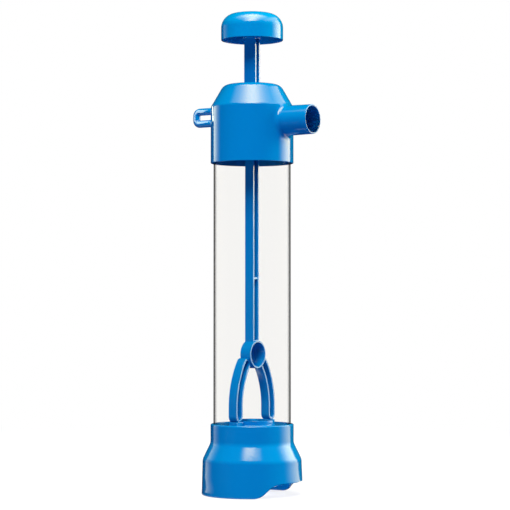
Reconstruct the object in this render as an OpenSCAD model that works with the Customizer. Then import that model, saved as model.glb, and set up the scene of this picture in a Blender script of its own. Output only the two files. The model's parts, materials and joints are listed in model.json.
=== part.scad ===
// Water squirter: a hand-worked lift pump with a clear barrel, for sand and water play.
// The origin is on the floor under the barrel's axis, +Z is up and +X is the way the spout points.

/* [Barrel] */
// Outer diameter of the clear tube
tube_od = 67; // [56:0.5:80]
// Wall of the clear tube
tube_wall = 2; // [1.4:0.1:2.6]
// Length of the clear tube
tube_len = 262.9; // [240:0.1:300]

/* [Head] */
// Wall of the head around the tube
head_wall = 2.4; // [1.6:0.1:4]
// Depth of the tube's end inside the head
head_grip = 18; // [12:0.5:19]
// Height of the head's straight side
head_side_h = 48.8; // [46:0.2:60]
// Height of the head's cone
head_cone_h = 19.7; // [14:0.1:26]
// Diameter where the cone would meet the flat top
head_top_d = 49.2; // [44:0.2:56]
// Thickness of the head's flat top
head_top_t = 2.2; // [1.6:0.1:3]
// Rounding between the cone and the flat top
head_top_round = 8; // [2:0.5:9]
// Rounding between the straight side and the cone
head_side_round = 4; // [1:0.5:8]

/* [Spout] */
// Distance of the spout's tip from the barrel's axis
spout_reach = 62.5; // [55:0.5:75]
// Outer diameter of the spout at its tip
spout_tip_d = 25.3; // [24.6:0.1:26.4]
// Outer diameter of the spout where it leaves the head
spout_root_d = 27.2; // [26:0.1:30]
// Bore of the spout
spout_bore_d = 22.6; // [16:0.1:23]
// Height of the head's shoulder above the spout's axis
spout_drop = 13.5; // [13:0.1:18]
// Extra radius of the soft flare at the spout's root
spout_flare = 1.8; // [0.5:0.1:3]

/* [Hanging eye] */
// Distance of the eye's end from the barrel's axis
eye_reach = 62.5; // [54:0.5:75]
// Diameter of the eye's round bar
eye_bar_d = 6.4; // [4:0.1:7]
// Clear height of the eye
eye_gap = 4.3; // [4.2:0.1:9]
// Radius of the bar's bends, at the middle of the bar
eye_bend_r = 3.6; // [3.6:0.1:5]
// Height of the head's shoulder above the middle of the eye
eye_drop = 6.3; // [4:0.1:10]

/* [Base] */
// Wall of the base
base_wall = 2.4; // [1.6:0.1:3.4]
// Outer diameter of the base at the floor
base_od = 87.2; // [82:0.2:110]
// Height of the skirt below the flare
skirt_h = 30.5; // [26:0.5:40]
// Height of the flare
flare_h = 14.2; // [10:0.1:20]
// Height of the collar above the flare
collar_h = 16.3; // [13:0.1:24]
// Rounding of the flare's two bends
flare_round = 9; // [2:0.5:12]
// Draft of the skirt, on its radius
skirt_draft = 0.7; // [0:0.1:1.5]
// Depth of the tube's end inside the collar
collar_grip = 19; // [15:0.5:22]
// Turn of the notch's middle from the spout, towards +Y
notch_turn = 15; // [0:1:30]
// Depth of the notch into the base at the floor
notch_depth = 23.8; // [20:0.2:27]
// Depth of the notch at its top
notch_top_depth = 12.7; // [8:0.2:15]
// Height of the notch
notch_h = 11.8; // [6:0.1:16]

/* [Knob] */
// Diameter of the knob
knob_d = 54; // [46:0.5:64]
// Height of the knob
knob_h = 23.3; // [20:0.1:32]
// Wall of the knob
knob_wall = 1.7; // [1.2:0.1:2.6]
// Rounding of the knob's crown
knob_round = 12.5; // [4:0.5:14]
// Diameter of the knob's socket
socket_d = 16.5; // [15.4:0.1:20]

/* [Plunger] */
// Length of the rod above the middle of the boss
rod_len = 294.8; // [290:0.2:330]
// Depth of the rod, from its web to its open side
rod_d = 8.6; // [7:0.1:10]
// Width of the rod
rod_w = 9.4; // [8:0.1:12]
// Length of the deeper stem at the top of the rod
stem_len = 74; // [66:0.5:90]
// Depth of the stem
stem_d = 11.7; // [10:0.1:12.5]
// Width of the stem
stem_w = 7.8; // [6.5:0.1:9]
// Wall of the channels
rib_t = 2; // [1.2:0.1:2.4]
// Diameter of the boss
boss_d = 24; // [20:0.2:27]
// Depth of the boss
boss_depth = 10.6; // [9.5:0.1:13]
// Wall of the boss
boss_wall = 1.5; // [1:0.1:2.4]
// Height of the boss's middle above the fork's feet
boss_h = 57.4; // [52:0.2:66]
// Distance of the fork's legs from the axis
leg_reach = 25; // [23:0.1:25.2]
// Width of a fork leg
leg_w = 9.9; // [8:0.1:10.2]
// Depth of a fork leg
leg_d = 8.2; // [6:0.1:10]
// Height at which a leg starts to bow inwards
leg_knee_h = 12.4; // [8:0.1:18]
// Drop of a leg's upper end below the boss's middle
leg_drop = 8; // [4:0.1:10]
// Bow radius of a leg
leg_bow_r = 63; // [56:0.5:72]
// Height of the rod's cross rib above the boss's middle
cross_rib_h = 65; // [30:1:120]

/* [Piston] */
// Height of the piston's skirt
piston_h = 12; // [10.5:0.1:18]
// Thickness of the piston's plate
plate_t = 2.4; // [1.8:0.1:3.2]
// Diameter of the piston's hub
hub_d = 38.8; // [37:0.1:40]
// Height of the hub above the plate
hub_h = 3.8; // [3.2:0.1:5]
// Height of the pads under the fork's feet
pad_h = 3.2; // [2:0.1:4]
// Height of the seal's groove
groove_h = 6; // [5:0.1:6.4]
// Depth of the seal's groove
groove_d = 2.4; // [2:0.1:3]
// Gap under the piston at the bottom of its stroke
rest_gap = 2.4; // [1:0.1:6]

/* [Valves] */
// Diameter of the valve discs
disc_d = 32.6; // [30:0.1:34]
// Thickness of the valve discs
disc_t = 1.6; // [1:0.1:2]
// Lift of the foot valve's disc
foot_lift = 2.2; // [1:0.1:4]
// Lift of the piston valve's disc
piston_lift = 1.6; // [1:0.1:3]
// Diameter of the pin that a disc slides on
pin_d = 5.2; // [4.6:0.1:7]
// Diameter of the pin's head
pin_head_d = 10.6; // [9:0.1:13]
// Height of the pin's head
pin_head_h = 1.6; // [1.2:0.1:2.6]
// Number of ports under each disc
port_count = 6; // [4:1:7]
// Diameter of a port
port_d = 7; // [5:0.1:8]
// Radius of the ring of ports
port_ring_r = 11; // [10:0.1:11.6]
// Thickness of the foot valve's seat
seat_t = 2.6; // [2:0.1:4]
// Thickness of the gasket under the tube
gasket_t = 1.4; // [1:0.1:2.4]

/* [Hidden] */

// Drawing fineness and the overrun of cuts
$fn = 96;
corner_steps = 8;
arc_steps = 16;
over = 1;

// Largest part of a side that one rounded corner takes
corner_room_share = 0.48;

// Fits: glued or pressed joints, the sliding seal, the piston's skirt, the keyed rod and the discs on their pins
joint_fit = 0.1;
press_gap = 0.05;
seal_gap = 0.06;
piston_gap = 0.5;
rod_slack = 0.35;
disc_slack = 0.15;

// Small edge roundings
collar_edge_r = 1.2;
lip_edge_r = 0.5;
knob_edge_r = 0.5;

// Inward ledges that the tube's top and the valve's seat stand against
head_ledge_w = 1;
seat_ledge_w = 3.1;
seat_ledge_t = 2.6;

// Notch roundings, at the floor and at its top
notch_foot_r = 12;
notch_top_r = 14;

// Spout: length of the flare at its root, and how deep a joined bar starts inside the head's wall
spout_flare_len = 6;
bar_root_depth = 0.5;

// Plunger details: pegs under the feet, the cross rib, the boss's floor and the gap above the knob's rim
peg_d = 4.4;
peg_len = 5;
cross_rib_t = 2;
boss_floor_t = 1.2;
socket_inset = 1.2;

// Piston details: walls of the skirt behind the groove and of the hub, the groove's height and the pads' sides
groove_wall = 1.8;
hub_wall = 2;
groove_z = 2.6;
pad_side = 0.1;

// Seal section: slack in the groove, its two legs, its heel and the land that meets the barrel
seal_slack = 0.1;
seal_leg_t = 0.95;
seal_heel_h = 2.4;
seal_land_h = 1.6;
seal_land_z = 3.4;
seal_heel_in = 0.9;

// Pin section: the neck in its plate, the barb below and the head's edge
pin_neck_d = 4;
pin_barb_d = 5.4;
pin_barb_h = 4;
pin_tip_d = 2.6;
pin_head_edge_h = 0.5;

// Radii that several pieces share
tube_r = tube_od / 2;
bore_r = tube_r - tube_wall;
grip_r = tube_r + joint_fit;
head_r = grip_r + head_wall;
head_top_r = head_top_d / 2;
chamber_r = tube_r - head_ledge_w;
collar_r = grip_r + base_wall;
base_r = base_od / 2;
flare_r = base_r - skirt_draft;
piston_r = bore_r - piston_gap;
groove_r = piston_r - groove_d;
hub_r = hub_d / 2;
knob_r = knob_d / 2;

// Heights, from the floor up
flare_z = skirt_h + flare_h;
base_h = flare_z + collar_h;
tube_z = base_h - collar_grip;
seat_top_z = tube_z - gasket_t;
seat_z = seat_top_z - seat_t;
tube_top_z = tube_z + tube_len;
head_z = tube_top_z - head_grip;
shoulder_z = head_z + head_side_h;
head_top_z = shoulder_z + head_cone_h;
spout_z = shoulder_z - spout_drop;
eye_z = shoulder_z - eye_drop;
piston_z = seat_top_z + disc_t + foot_lift + pin_head_h + rest_gap;
plate_top_z = piston_z + piston_h;
feet_z = plate_top_z + pad_h;
boss_z = feet_z + boss_h;
rod_top_z = boss_z + rod_len;
stem_z = rod_top_z - stem_len;
knob_z = rod_top_z + knob_wall - knob_h;

// A leg's upper end lies on its bow, at this angle from level
leg_sweep = asin((boss_h - leg_drop - leg_knee_h) / leg_bow_r);

function unit(v) = v / norm(v);

function turn(angle) = angle > 180 ? angle - 360 : angle < -180 ? angle + 360 : angle;

// Points on an arc about a centre
function arc(centre, r, from, sweep, steps) =
    [for (i = [0 : steps]) centre + r * [cos(from + sweep * i / steps), sin(from + sweep * i / steps)]];

// Points that round one corner of an outline, by no more than its two sides leave room for
function corner(before, at, after, radius) =
    radius == 0 ? [at] :
    let (
        back = unit(before - at),
        ahead = unit(after - at),
        half_angle = acos(back * ahead) / 2,
        room = corner_room_share * min(norm(before - at), norm(after - at)),
        r = min(radius, room * tan(half_angle)),
        centre = at + unit(back + ahead) * r / sin(half_angle),
        start = at + back * r / tan(half_angle) - centre,
        end = at + ahead * r / tan(half_angle) - centre,
        from = atan2(start.y, start.x)
    )
    arc(centre, r, from, turn(atan2(end.y, end.x) - from), corner_steps);

function place(point) = [point[0], point[1]];

// A closed outline from corners given as [x, y, radius]
function rounded(corners) =
    let (count = len(corners))
    [for (i = [0 : count - 1])
        each corner(place(corners[(i + count - 1) % count]), place(corners[i]),
                    place(corners[(i + 1) % count]), corners[i][2])];

// A turned solid from an outline of [radius, height, rounding]
module turned(corners) {
    rotate_extrude() polygon(rounded(corners));
}

// A solid extruded along X from an outline in Y and Z
module extruded_x(from, to) {
    translate([from, 0, 0]) rotate([90, 0, 90]) linear_extrude(to - from) children();
}

// A cylinder along X
module rod_x(from, to, r1, r2) {
    translate([from, 0, 0]) rotate([0, 90, 0]) cylinder(h = to - from, r1 = r1, r2 = r2);
}

// The ring of ports under a valve disc, as cutters
module ports(z, height) {
    for (i = [0 : port_count - 1])
        rotate([0, 0, 360 * i / port_count])
            translate([port_ring_r, 0, z - over]) cylinder(h = height + 2 * over, d = port_d);
}

// The hole for a valve pin's neck, as a cutter
module pin_hole(z, height) {
    translate([0, 0, z - over]) cylinder(h = height + 2 * over, d = pin_neck_d + 2 * press_gap);
}

// A valve disc that lies on a plate whose top is at z
module valve_disc(z) {
    translate([0, 0, z]) difference() {
        cylinder(h = disc_t, d = disc_d);
        translate([0, 0, -over]) cylinder(h = disc_t + 2 * over, d = pin_d + 2 * disc_slack);
    }
}

// A mushroom pin snapped through a plate, with room for its disc to lift
module valve_pin(z, plate, lift) {
    head_low = disc_t + lift;
    translate([0, 0, z]) turned([
        [0, -plate - pin_barb_h, 0],
        [pin_tip_d / 2, -plate - pin_barb_h, 0],
        [pin_barb_d / 2, -plate, 0],
        [pin_neck_d / 2, -plate, 0],
        [pin_neck_d / 2, 0, 0],
        [pin_d / 2, 0, 0],
        [pin_d / 2, head_low, 0],
        [pin_head_d / 2, head_low, 0],
        [pin_head_d / 2, head_low + pin_head_edge_h, 0],
        [pin_d / 2, head_low + pin_head_h, pin_head_h],
        [0, head_low + pin_head_h, 0]
    ]);
}

// Base: collar, flare and skirt in one moulding, with an inner ledge for the valve's seat
module base_foot() {
    ledge_low_z = seat_z - seat_ledge_t;
    skirt_in_r = base_r - base_wall;
    flare_in_r = flare_r - base_wall;
    flare_in_z = min(skirt_h - base_wall / 2, ledge_low_z);
    flare_slope = (flare_r - collar_r) / flare_h;
    ledge_root_r = flare_in_r - flare_slope * (ledge_low_z - flare_in_z);
    color("#0079c8") difference() {
        turned([
            [skirt_in_r, 0, 0],
            [base_r, 0, lip_edge_r],
            [flare_r, skirt_h, flare_round],
            [collar_r, flare_z, flare_round],
            [collar_r, base_h, collar_edge_r],
            [grip_r, base_h, lip_edge_r],
            [grip_r, seat_z, 0],
            [grip_r - seat_ledge_w, seat_z, 0],
            [grip_r - seat_ledge_w, ledge_low_z, 0],
            [ledge_root_r, ledge_low_z, 0],
            [flare_in_r, flare_in_z, 0]
        ]);
        rotate([0, 0, notch_turn - 90]) extruded_x(-base_r - over, base_r + over) polygon(rounded([
            [0, -over, 0],
            [base_r + over, -over, 0],
            [base_r + over, notch_h, 0],
            [base_r - notch_top_depth, notch_h, notch_top_r],
            [base_r - notch_depth, 0, notch_foot_r],
            [0, 0, 0]
        ]));
    }
}

// Foot valve's seat: a ported plate on the base's ledge, clamped by the tube and its gasket
module foot_valve_seat() {
    color("#006bb4") difference() {
        translate([0, 0, seat_z]) cylinder(h = seat_t, r = grip_r - joint_fit);
        ports(seat_z, seat_t);
        pin_hole(seat_z, seat_t);
    }
}

module foot_valve_disc() {
    color("#3a3d42") valve_disc(seat_top_z);
}

module foot_valve_pin() {
    color("#0079c8") valve_pin(seat_top_z, seat_t, foot_lift);
}

// Gasket: a flat ring under the end of the tube
module tube_gasket() {
    color("#3a3d42") translate([0, 0, seat_top_z]) difference() {
        cylinder(h = gasket_t, r = grip_r - joint_fit);
        translate([0, 0, -over]) cylinder(h = gasket_t + 2 * over, r = bore_r);
    }
}

// Barrel: the clear tube
module barrel_tube() {
    color("#dfe8ee", 0.35) translate([0, 0, tube_z]) difference() {
        cylinder(h = tube_len, r = tube_r);
        translate([0, 0, -over]) cylinder(h = tube_len + 2 * over, r = bore_r);
    }
}

// Hanging eye: a round bar bent into a flat loop, in the frame of its own middle
module hanging_eye() {
    bar_r = eye_bar_d / 2;
    bar_z = eye_gap / 2 + bar_r;
    end_x = eye_reach - bar_r;
    bend_x = end_x - eye_bend_r;
    for (side = [0, 1]) mirror([0, 0, side]) {
        translate([0, 0, bar_z]) rod_x(-bend_x, -chamber_r - bar_root_depth, bar_r, bar_r);
        translate([-bend_x, 0, bar_z - eye_bend_r]) rotate([90, 0, 180])
            rotate_extrude(angle = 90) translate([eye_bend_r, 0]) circle(bar_r);
        translate([-end_x, 0, 0]) cylinder(h = bar_z - eye_bend_r, r = bar_r);
    }
}

// Head: cap over the tube with the spout and the hanging eye, in one moulding
module head_cap() {
    hole_x = max(rod_d, stem_d) + 2 * rod_slack;
    hole_y = max(rod_w, stem_w) + 2 * rod_slack;
    flare_end_x = head_r + spout_flare_len / 2;
    flare_start_x = flare_end_x - spout_flare_len;
    color("#0079c8") difference() {
        union() {
            turned([
                [0, head_z, 0],
                [head_r, head_z, lip_edge_r],
                [head_r, shoulder_z, head_side_round],
                [head_top_r, head_top_z, head_top_round],
                [0, head_top_z, 0]
            ]);
            translate([0, 0, spout_z]) {
                rod_x(0, spout_reach, spout_root_d / 2, spout_tip_d / 2);
                rod_x(flare_start_x, flare_end_x, spout_root_d / 2 + spout_flare, spout_root_d / 2);
            }
            translate([0, 0, eye_z]) hanging_eye();
        }
        turned([
            [0, head_z - over, 0],
            [grip_r, head_z - over, 0],
            [grip_r, tube_top_z, 0],
            [chamber_r, tube_top_z, 0],
            [chamber_r, shoulder_z, head_side_round],
            [head_top_r - head_top_t, head_top_z - head_top_t, head_top_round - head_top_t],
            [0, head_top_z - head_top_t, 0]
        ]);
        translate([0, 0, spout_z]) rod_x(0, spout_reach + over, spout_bore_d / 2, spout_bore_d / 2);
        translate([-hole_x / 2, -hole_y / 2, shoulder_z]) cube([hole_x, hole_y, head_cone_h + over]);
    }
}

// A channel along Z, open on its +X side and closed at both ends
module channel(depth, width, from, to) {
    translate([-depth / 2, -width / 2, from]) difference() {
        cube([depth, width, to - from]);
        translate([rib_t, rib_t, rib_t]) cube([depth, width - 2 * rib_t, to - from - 2 * rib_t]);
    }
}

// Outline of a fork leg in Y and Z, its bow and rounded ends offset by a half width from its middle line
function leg_outline(half_w) =
    let (
        bow = [leg_reach - leg_bow_r, leg_knee_h],
        top = bow + leg_bow_r * [cos(leg_sweep), sin(leg_sweep)],
        foot = [leg_reach, leg_w / 2]
    )
    concat(
        arc(bow, leg_bow_r + half_w, 0, leg_sweep, arc_steps),
        arc(top, half_w, leg_sweep, 180, arc_steps),
        arc(bow, leg_bow_r - half_w, leg_sweep, -leg_sweep, arc_steps),
        arc(foot, half_w, 180, 180, arc_steps)
    );

// One fork leg: a bowed channel with a peg under its foot, standing at height 0
module fork_leg() {
    difference() {
        extruded_x(-leg_d / 2, leg_d / 2) polygon(leg_outline(leg_w / 2));
        extruded_x(rib_t - leg_d / 2, leg_d / 2 + over) polygon(leg_outline(leg_w / 2 - rib_t));
    }
    translate([0, leg_reach, -peg_len]) cylinder(h = peg_len + rib_t / 2, d = peg_d);
}

// Boss: a round cup open to +X, where the rod meets the fork
module rod_boss() {
    back_x = -rod_d / 2;
    difference() {
        rod_x(back_x, back_x + boss_depth, boss_d / 2, boss_d / 2);
        rod_x(back_x + boss_floor_t, back_x + boss_depth + over, boss_d / 2 - boss_wall, boss_d / 2 - boss_wall);
    }
}

// Plunger: rod, boss and fork in one open-channel moulding
module plunger_rod() {
    rod_z = boss_z + boss_d / 2 - boss_wall;
    rib_z = boss_z + cross_rib_h;
    color("#0072c0") {
        channel(rod_d, rod_w, rod_z, stem_z + rib_t);
        channel(stem_d, stem_w, stem_z, rod_top_z);
        translate([-rod_d / 2, -rod_w / 2, rib_z]) cube([rod_d, rod_w, cross_rib_t]);
        translate([0, 0, boss_z]) rod_boss();
        for (side = [0, 1])
            mirror([0, side, 0]) translate([0, 0, feet_z]) fork_leg();
    }
}

// Knob: a hollow dome with a socket for the rod's stem
module knob() {
    color("#0087d7") translate([0, 0, knob_z]) {
        turned([
            [knob_r - knob_wall, 0, knob_edge_r],
            [knob_r, 0, knob_edge_r],
            [knob_r, knob_h, knob_round],
            [0, knob_h, 0],
            [0, knob_h - knob_wall, 0],
            [knob_r - knob_wall, knob_h - knob_wall, knob_round - knob_wall]
        ]);
        difference() {
            translate([0, 0, socket_inset]) cylinder(h = knob_h - knob_wall / 2 - socket_inset, d = socket_d);
            translate([-stem_d / 2 - press_gap, -stem_w / 2 - press_gap, 0])
                cube([stem_d + 2 * press_gap, stem_w + 2 * press_gap, knob_h - knob_wall]);
        }
    }
}

// Piston: a ported plate with a grooved skirt, a hub round the valve and pads for the fork's feet
module piston_body() {
    skirt_in_r = groove_r - groove_wall;
    root_z = plate_top_z - plate_t / 2;
    pad_in_y = hub_r - hub_wall / 2;
    color("#006bb4") difference() {
        union() {
            turned([
                [0, plate_top_z - plate_t, 0],
                [skirt_in_r, plate_top_z - plate_t, 0],
                [skirt_in_r, piston_z, 0],
                [piston_r, piston_z, 0],
                [piston_r, piston_z + groove_z, 0],
                [groove_r, piston_z + groove_z, 0],
                [groove_r, piston_z + groove_z + groove_h, 0],
                [piston_r, piston_z + groove_z + groove_h, 0],
                [piston_r, plate_top_z, 0],
                [0, plate_top_z, 0]
            ]);
            translate([0, 0, root_z]) difference() {
                cylinder(h = plate_top_z + hub_h - root_z, r = hub_r);
                translate([0, 0, -over])
                    cylinder(h = plate_top_z + hub_h - root_z + 2 * over, r = hub_r - hub_wall);
            }
            for (side = [0, 1])
                mirror([0, side, 0]) translate([-leg_d / 2 - pad_side, pad_in_y, root_z])
                    cube([leg_d + 2 * pad_side, leg_reach + leg_w / 2 - pad_in_y, feet_z - root_z]);
        }
        ports(plate_top_z - plate_t, plate_t);
        pin_hole(plate_top_z - plate_t, plate_t);
        for (side = [-1, 1])
            translate([0, side * leg_reach, feet_z - peg_len - over])
                cylinder(h = peg_len + 2 * over, d = peg_d + 2 * press_gap);
    }
}

// Piston's seal: a rubber lip ring with a heel in the groove and a lip against the barrel
module piston_seal() {
    heel_r = groove_r + press_gap;
    lip_r = bore_r - seal_gap;
    seal_h = groove_h - seal_slack;
    color("#3a3d42") translate([0, 0, piston_z + groove_z]) turned([
        [heel_r, 0, 0],
        [lip_r - seal_heel_in, 0, 0],
        [lip_r, seal_land_z, 0],
        [lip_r, seal_land_z + seal_land_h, 0],
        [lip_r - seal_leg_t, seal_h, 0],
        [(heel_r + lip_r) / 2, seal_heel_h, 0],
        [heel_r + seal_leg_t, seal_h, 0],
        [heel_r, seal_h, 0]
    ]);
}

module piston_valve_disc() {
    color("#3a3d42") valve_disc(plate_top_z);
}

module piston_valve_pin() {
    color("#0079c8") valve_pin(plate_top_z, plate_t, piston_lift);
}

base_foot();
foot_valve_seat();
foot_valve_disc();
foot_valve_pin();
tube_gasket();
barrel_tube();
head_cap();
plunger_rod();
knob();
piston_body();
piston_seal();
piston_valve_disc();
piston_valve_pin();
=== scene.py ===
"""Water squirter: the looks of a hand-worked lift pump in blue moulded plastic with a clear barrel."""

import json
import math

import bmesh
import bpy
import numpy as np
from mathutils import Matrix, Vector

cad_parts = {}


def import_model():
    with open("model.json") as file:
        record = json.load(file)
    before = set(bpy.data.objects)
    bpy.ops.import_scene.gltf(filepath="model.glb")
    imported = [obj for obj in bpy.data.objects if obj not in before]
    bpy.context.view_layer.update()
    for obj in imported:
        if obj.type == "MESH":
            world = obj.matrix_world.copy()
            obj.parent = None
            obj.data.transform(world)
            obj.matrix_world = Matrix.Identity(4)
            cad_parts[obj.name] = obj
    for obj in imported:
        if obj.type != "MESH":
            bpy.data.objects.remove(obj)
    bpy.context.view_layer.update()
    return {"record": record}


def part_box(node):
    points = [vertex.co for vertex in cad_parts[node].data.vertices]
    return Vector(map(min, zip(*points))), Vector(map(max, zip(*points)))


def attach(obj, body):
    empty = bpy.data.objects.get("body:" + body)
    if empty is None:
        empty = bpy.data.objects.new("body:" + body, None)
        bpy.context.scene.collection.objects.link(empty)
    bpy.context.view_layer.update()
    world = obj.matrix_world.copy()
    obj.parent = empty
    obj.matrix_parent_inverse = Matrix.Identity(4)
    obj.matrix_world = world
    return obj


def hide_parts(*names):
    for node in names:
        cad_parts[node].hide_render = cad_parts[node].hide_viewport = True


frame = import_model()
record = frame["record"]
mounts = {mount["name"]: mount for mount in record["mounts"]}
slots = {part["node"]: part["material_slot"] for part in record["subparts"]}
bodies = {node: body for body, nodes in record["behaviour"]["bodies"].items() for node in nodes}

# Fineness of round shapes, the longest steps along outlines and the overrun of cuts, in metres
turn_columns = 288
base_columns = 432
spout_columns = 128
bar_columns = 40
boss_columns = 72
corner_steps = 8
arc_steps = 24
arc_step = 0.0005
longest_step = 0.004
over = 0.001
pole_r = 1e-6
sharp_angle = math.radians(38)

# Fits, in metres: glued joints and pressed joints
joint_fit = 0.0001
press_gap = 0.00005

# Barrel
tube_low, tube_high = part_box("barrel_tube")
tube_r = tube_high.x
tube_wall = 0.002
tube_edge_r = 0.0004
bore_r = tube_r - tube_wall
grip_r = tube_r + joint_fit

# Head: cap, cone and inner chamber
head_low, head_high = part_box("head_cap")
head_r = head_high.y
head_cone_h = 0.0197
head_top_r = 0.0246
head_top_t = 0.0022
head_top_round = 0.008
head_side_round = 0.004
head_ledge_w = 0.001
head_lip_r = 0.0005
shoulder_z = head_high.z - head_cone_h
chamber_r = tube_r - head_ledge_w
rod_hole = Vector((0.0124, 0.0101))
rod_hole_r = 0.001

# Spout: its bore is a mount of the record, and a soft fillet joins it to the head
mm_per_m = 1000
spout_mount = mounts["spout_bore"]
spout_z = spout_mount["pos_m"][2]
spout_bore_r = spout_mount["dims"]["r_mm"] / mm_per_m
spout_reach = head_high.x
spout_tip_r = 0.01265
spout_root_r = 0.0136
spout_lip_r = 0.0006
spout_rows = 8
spout_fillet = 0.0032
fillet_pull_share = 0.6
fillet_rise = 0.00002
fillet_tuck = 0.0004
fillet_dip = 0.0006
root_depth = 0.0015

# Hanging eye: a round bar bent into a loop
eye_z = mounts["hanging_eye"]["pos_m"][2]
eye_reach = -head_low.x
eye_bar_r = 0.0032
eye_gap = 0.0043
eye_bend_r = 0.0036
eye_root_r = 0.001
eye_root_depth = 0.0012

# Base: skirt, flare, collar and the inner ledge
base_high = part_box("base_foot")[1]
base_r = base_high.y
base_h = base_high.z
base_wall = 0.0024
skirt_h = 0.0305
flare_h = 0.0142
flare_round = 0.009
skirt_draft = 0.0007
skirt_rows = 10
collar_r = grip_r + base_wall
collar_edge_r = 0.0012
lip_edge_r = 0.0005
seat_ledge_w = 0.0031
seat_ledge_t = 0.0026

# Notch in the skirt: its turn from the spout, its depths at the floor and at its top, and its roundings
notch_turn = math.radians(15)
notch_depth = 0.0238
notch_top_depth = 0.0127
notch_h = 0.0118
notch_foot_r = 0.012
notch_top_r = 0.014

# Knob
knob_low, knob_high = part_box("knob")
knob_r = knob_high.x
knob_wall = 0.0017
knob_round = 0.0125
knob_edge_r = 0.0004
socket_r = 0.00825
socket_inset = 0.0012
socket_edge_r = 0.0005
socket_fillet = 0.0012

# Plunger: channels open to +X, a boss and two bowed legs
rod_low, rod_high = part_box("plunger_rod")
rod_d = 0.0086
rod_w = 0.0094
stem_d = 0.0117
stem_w = 0.0078
stem_len = 0.074
rib_t = 0.002
rib_edge_r = 0.0003
rib_fillet = 0.0005
rod_corner_r = 0.0006
boss_r = 0.012
boss_wall = 0.0015
boss_floor_t = 0.0012
boss_h = 0.0574
leg_w = 0.0099
leg_d = 0.0082
leg_knee_h = 0.0124
leg_drop = 0.008
leg_bow_r = 0.063
peg_len = 0.005
peg_r = 0.0022
peg_tip_r = 0.0006
cross_rib_h = 0.065
cross_rib_t = 0.002
rod_back_x = -rod_d / 2
leg_reach = rod_high.y - leg_w / 2
feet_z = rod_low.z + peg_len
boss_z = feet_z + boss_h
stem_z = rod_high.z - stem_len

# Piston: a ported plate with a grooved skirt, a hub round the valve and pads for the fork's feet
piston_low, piston_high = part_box("piston_body")
piston_r = piston_high.x
plate_t = 0.0024
hub_r = 0.0194
hub_h = 0.0038
hub_wall = 0.002
groove_wall = 0.0018
groove_d = 0.0024
pad_side = 0.0001
pad_edge_r = 0.0006
piston_edge_r = 0.0005
piston_fillet = 0.0006
groove_edge_r = 0.0002
plate_top_z = piston_high.z - hub_h
groove_r = piston_r - groove_d

# Piston's seal: slack in the groove, its two legs, its heel and the land that meets the barrel
seal_low, seal_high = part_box("piston_seal")
seal_slack = 0.0001
seal_leg_t = 0.00095
seal_heel_h = 0.0024
seal_heel_in = 0.0009
seal_land_z = 0.0034
seal_land_h = 0.0016
seal_edge_r = 0.0003
seal_tip_r = 0.0001

# Valves: discs on mushroom pins over rings of ports
seat_low, seat_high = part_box("foot_valve_seat")
disc_slack = 0.00015
rubber_edge_r = 0.0004
rubber_gap = 0.00002
pin_r = 0.0026
pin_neck_r = 0.002
pin_barb_r = 0.0027
pin_barb_h = 0.004
pin_tip_r = 0.0013
pin_head_h = 0.0016
pin_head_edge_h = 0.0005
pin_head_round = 0.0015
pin_edge_r = 0.0002
port_count = 6
port_r = 0.0035
port_ring_r = 0.011

# Blue plastics by slot: deep and light colour in 0 to 255, roughness, its spread and the strength of gloss
blue_finishes = {
    "blue_shell": ((0, 115, 187), (0, 122, 195), 0.11, 0.02, 0.5),
    "blue_knob": ((0, 130, 199), (0, 137, 207), 0.11, 0.02, 0.5),
    "blue_plunger": ((0, 119, 191), (0, 126, 199), 0.1, 0.03, 0.85),
    "blue_inner": ((0, 118, 196), (0, 126, 206), 0.16, 0.04, 0.5),
}

# Skin of the moulded plastic: scales per metre, and its depth in metres
flow_scale = 18
flow_detail = 2
gloss_scale = 90
skin_scale = 700
skin_strength = 0.05
skin_depth = 0.0001
plastic_ior = 1.5

# Clear plastic: its tint, its rim by how far the wall turns away, and its mirror skin
clear_tint = (0.9925, 0.9904, 0.9856, 1)
clear_rim_colour = (0.03, 0.03, 0.035, 1)
clear_rim_shares = (0.55, 0.9)
clear_roughness = (0.03, 0.06)
clear_skin_share = 0.015
level_only = (1, 1, 0)

# Rubbers by slot, in 0 to 255, and their grain
rubber_finishes = {"seal_rubber": (42, 44, 47), "valve_rubber": (52, 54, 57)}
rubber_scale = 900
rubber_roughness = (0.45, 0.65)
rubber_strength = 0.15

# Colours as numbers: the full scale, the curve from screen values to light, and the mix node's colour sockets
full_scale = 255
curve_start, curve_slope, curve_shift, curve_power = 0.04045, 12.92, 0.055, 2.4
mix_first, mix_second, mix_result = 6, 7, 2

# Camera: the photograph's frame, in pixels, and the place of the eye, in metres
frame_px = 510
focal_px = 1854.5
sensor_mm = 36
axis_px = 252.1
horizon_px = 303.6
eye_distance = 1.611
eye_h = 0.165
eye_azimuth = math.radians(34)

# Height that the lamps are aimed at, in metres
mid_h = 0.21

# Lamps: turn to the camera's right and elevation in degrees, distance and side in metres, level and colour
lamps = {
    "front_key": (-5, 48, 5, 2.4, 1.08, (1, 1, 1)),
    "top_key": (-5, 78, 4, 2, 1.1, (1, 1, 0.4)),
    "side_key": (102, 18, 2.6, 1.2, 1.45, (1, 1, 0.6)),
    "low_key": (-65, -15, 0.55, 0.3, 0.2, (1, 1, 0.7)),
    "back_key": (178, 30, 4, 2, 0.7, (1, 1, 0.9)),
}

# Small lamp in the base: its radius in metres and its level
chamber_lamp_r = 0.004
chamber_level = 0.4

# Stage, in metres: a white floor that runs out into the background, and the fill
floor_half = 6
floor_near = 0.3
floor_far = 0.9
floor_colour = (0.74, 0.74, 0.98, 1)
floor_bounce_colour = (0.1, 0.13, 0.3, 1)
floor_glow_share = 0.8
fill_strength = 0.12
fill_colour = (0.2, 0.3, 1.5, 1)
white = (1, 1, 1, 1)

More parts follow.
